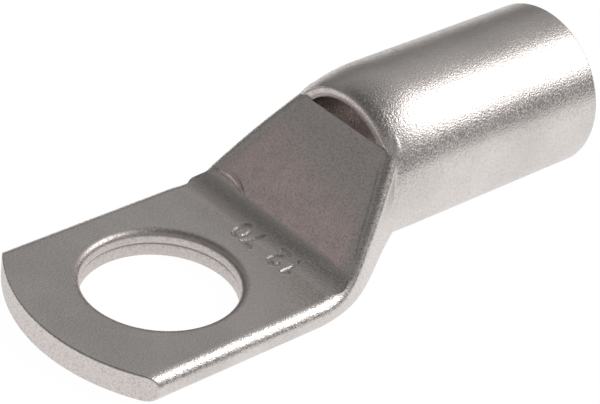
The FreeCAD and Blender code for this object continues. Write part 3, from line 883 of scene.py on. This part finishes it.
# the room that the lug mirrors: upward part of a direction, and brightness
ROOM_LEVELS = ((0.0, 0.12), (0.22, 0.14), (0.42, 0.33), (0.56, 0.41), (0.75, 0.43), (1.0, 0.40))
ROOM_BLUE = 0.99               # share of blue in it
ROOM_SIDES = (1.25, 0.8)       # factor towards -Y and towards +Y
ROOM_ENDS = (0.95, 1.15)       # factor towards -X and towards +X
END_REACH = 0.6                # sideways part of a direction where the ends are reached
SHADE_X, SHADE_Z = (0.5, 0.1), (0.55, 0.78)  # parts over which the ceiling's shade comes on
SHADE_LEVEL = 0.3              # factor in the shade


def studio_world():
    """Walls that are paler towards -Y and +X, and a ceiling that is darker towards -X.

    Only the lug mirrors them: the camera itself sees white.
    """
    world = bpy.data.worlds.new("studio")
    bpy.context.scene.world = world
    world.use_nodes = True
    tree = world.node_tree
    tree.nodes.clear()
    way = node(tree, "ShaderNodeTexCoord").outputs["Generated"]
    to_x, to_y, to_z = node(tree, "ShaderNodeSeparateXYZ", {"Vector": way}).outputs
    ramp = node(tree, "ShaderNodeValToRGB", {"Fac": to_z})
    elements = ramp.color_ramp.elements
    while len(elements) < len(ROOM_LEVELS):
        elements.new(0.5)
    for element, (place, level) in zip(elements, ROOM_LEVELS):
        element.position = place
        element.color = (level, level, level * ROOM_BLUE, 1.0)
    level = math_node(tree, "MULTIPLY", mask(tree, to_y, -1.0, 1.0, *ROOM_SIDES),
                      mask(tree, to_x, -END_REACH, END_REACH, *ROOM_ENDS))
    shade = math_node(tree, "MULTIPLY", mask(tree, to_x, *SHADE_X), mask(tree, to_z, *SHADE_Z))
    level = math_node(tree, "MULTIPLY", level, mask(tree, shade, 0.0, 1.0, 1.0, SHADE_LEVEL))
    walls = node(tree, "ShaderNodeBackground", {"Color": ramp.outputs["Color"],
                                                "Strength": level})
    seen = node(tree, "ShaderNodeBackground", {"Color": WHITE, "Strength": 1.0})
    path = node(tree, "ShaderNodeLightPath")
    mix = node(tree, "ShaderNodeMixShader", {0: path.outputs["Is Camera Ray"]})
    tree.links.new(walls.outputs[0], mix.inputs[1])
    tree.links.new(seen.outputs[0], mix.inputs[2])
    node(tree, "ShaderNodeOutputWorld", {"Surface": mix.outputs[0]})


FLOOR_WHITE = 0.93  # share of plain white in what is seen of the floor
FLOOR_GLOW = 1.05   # its strength


def floor_material(pale):
    """Matt floor that is seen, and mirrored, as white with a faint shadow."""
    material = bpy.data.materials.new("floor")
    material.use_nodes = True
    tree = material.node_tree
    tree.nodes.clear()
    matt = node(tree, "ShaderNodeBsdfDiffuse", {"Color": (*pale, 1.0)})
    white = node(tree, "ShaderNodeEmission", {"Color": WHITE, "Strength": FLOOR_GLOW})
    path = node(tree, "ShaderNodeLightPath")
    seen = math_node(tree, "MAXIMUM", path.outputs["Is Camera Ray"],
                     path.outputs["Is Glossy Ray"])
    seen = math_node(tree, "MAXIMUM", seen, path.outputs["Is Transmission Ray"])
    mix = node(tree, "ShaderNodeMixShader", {0: math_node(tree, "MULTIPLY", seen, FLOOR_WHITE)})
    tree.links.new(matt.outputs[0], mix.inputs[1])
    tree.links.new(white.outputs[0], mix.inputs[2])
    node(tree, "ShaderNodeOutputMaterial", {"Surface": mix.outputs[0]})
    return material


def direction(bearing, height):
    """Unit vector for a bearing from -Y towards +X and a height above the horizon."""
    return Vector((math.sin(bearing) * math.cos(height),
                   -math.cos(bearing) * math.cos(height), math.sin(height)))


LUG_MIDDLE = (0.015, 0, 0.005)  # in metres
SENSOR = 36.0                   # width of the camera's sensor, in millimetres
CLIPS = (0.01, 10.0)            # nearest and furthest that it sees, in metres


def hang_lamp(stage):
    """A square area lamp that looks at the middle of the lug."""
    lamp = bpy.data.lights.new("window", "AREA")
    lamp.shape, lamp.size, lamp.energy = "SQUARE", stage.lamp_side, stage.lamp_power
    place = bpy.data.objects.new("window", lamp)
    away = direction(stage.lamp_bearing, stage.lamp_height)
    place.location = Vector(LUG_MIDDLE) + away * stage.lamp_distance
    place.rotation_mode = "QUATERNION"
    place.rotation_quaternion = away.to_track_quat("Z", "Y")
    bpy.context.collection.objects.link(place)


def set_camera(stage):
    """The camera looks along a line past the bolt hole, and is rolled about that line."""
    place = bpy.data.objects.new("camera", bpy.data.cameras.new("camera"))
    back = direction(stage.azimuth, stage.elevation)
    level = (-back).cross(Vector((0, 0, 1))).normalized()
    upright = level.cross(-back)
    right = math.cos(stage.roll) * level + math.sin(stage.roll) * upright
    up = math.cos(stage.roll) * upright - math.sin(stage.roll) * level
    turn = Matrix((right, up, back)).transposed().to_4x4()
    place.matrix_world = Matrix.Translation(
        back * stage.distance + right * stage.across + up * stage.up) @ turn
    place.data.lens = stage.lens
    place.data.sensor_width = SENSOR
    place.data.clip_start, place.data.clip_end = CLIPS
    bpy.context.collection.objects.link(place)
    bpy.context.scene.camera = place


class LUG_OT_stage(Operator):
    """Lay the floor, hang the lamp and set the camera"""

    bl_idname = "lug.stage"
    bl_label = "Stage"

    def execute(self, context):
        stage = context.scene.lug_stage
        half = stage.floor_half
        mesh = bpy.data.meshes.new("floor")
        mesh.from_pydata([(-half, -half, 0), (half, -half, 0), (half, half, 0),
                          (-half, half, 0)], [], [(0, 1, 2, 3)])
        mesh.materials.append(floor_material(stage.floor))
        floor = bpy.data.objects.new("floor", mesh)
        context.collection.objects.link(floor)
        studio_world()
        hang_lamp(stage)
        set_camera(stage)
        context.scene.view_settings.view_transform = "Standard"
        return {"FINISHED"}


class LUG_PT_panel(Panel):
    """Sizes and colours of the lug, and the steps that build it"""

    bl_idname = "LUG_PT_panel"
    bl_label = "Cable Lug"
    bl_space_type = "VIEW_3D"
    bl_region_type = "UI"
    bl_category = "Cable Lug"

    def draw(self, context):
        for name, group in GROUPS.items():
            box = self.layout.box()
            box.label(text=group.__doc__)
            for item in group.__annotations__:
                box.prop(getattr(context.scene, name), item)
        for step in STEPS:
            self.layout.operator(step.bl_idname)


STEPS = (LUG_OT_body, LUG_OT_stage)


def register():
    for group in (*GROUPS.values(), *STEPS, LUG_PT_panel):
        bpy.utils.register_class(group)
    for name, group in GROUPS.items():
        setattr(bpy.types.Scene, name, PointerProperty(type=group))


def unregister():
    for name in GROUPS:
        delattr(bpy.types.Scene, name)
    for group in (LUG_PT_panel, *reversed(STEPS), *reversed(GROUPS.values())):
        bpy.utils.unregister_class(group)


def main():
    register()
    bpy.ops.lug.body()
    bpy.ops.lug.stage()


if __name__ == "__main__":
    main()
